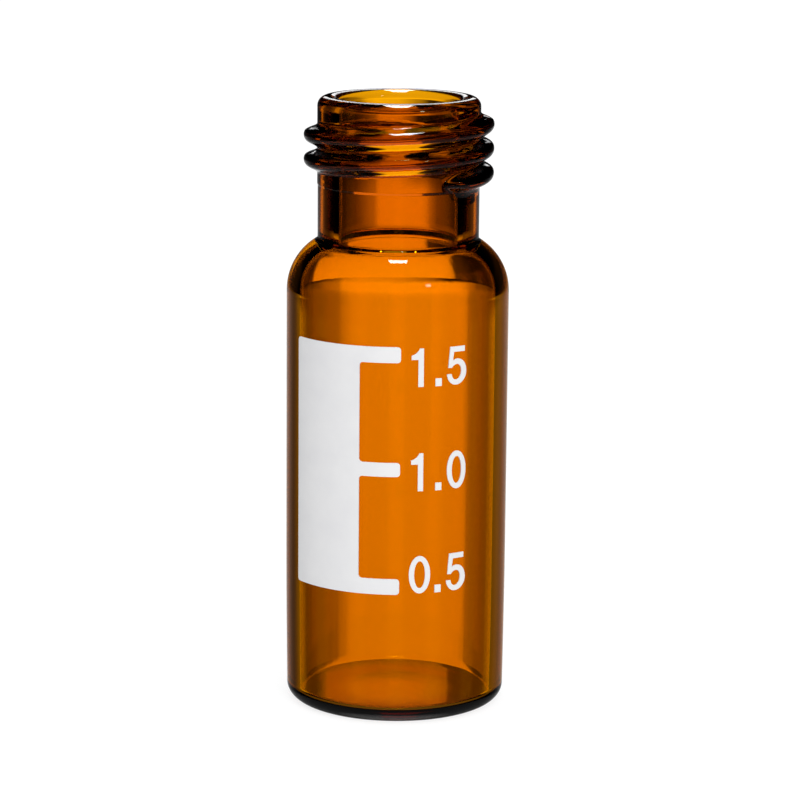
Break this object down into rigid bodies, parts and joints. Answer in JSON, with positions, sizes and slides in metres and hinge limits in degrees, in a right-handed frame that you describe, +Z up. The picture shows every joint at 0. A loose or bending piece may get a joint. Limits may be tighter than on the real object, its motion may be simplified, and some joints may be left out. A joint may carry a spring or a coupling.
{
  "type": "glass sample vial",
  "caption": "Cylindrical amber glass sample vial with a rounded shoulder, an open screw-thread neck and a printed write-on panel with graduation bars.",
  "frame": {"origin": "centre of the foot, on the surface that the vial stands on", "axes": "+Z up along the vial's axis, out of the mouth; the graduation bars end at the front, -Y"},
  "size_m": [0.0116, 0.0116, 0.032],
  "materials": {
    "amber_glass": "polished",
    "white_enamel": "satin"
  },
  "bodies": {
    "root": {"glass_vial": "amber_glass", "enamel_panel": "white_enamel"}
  },
  "joints": []
}
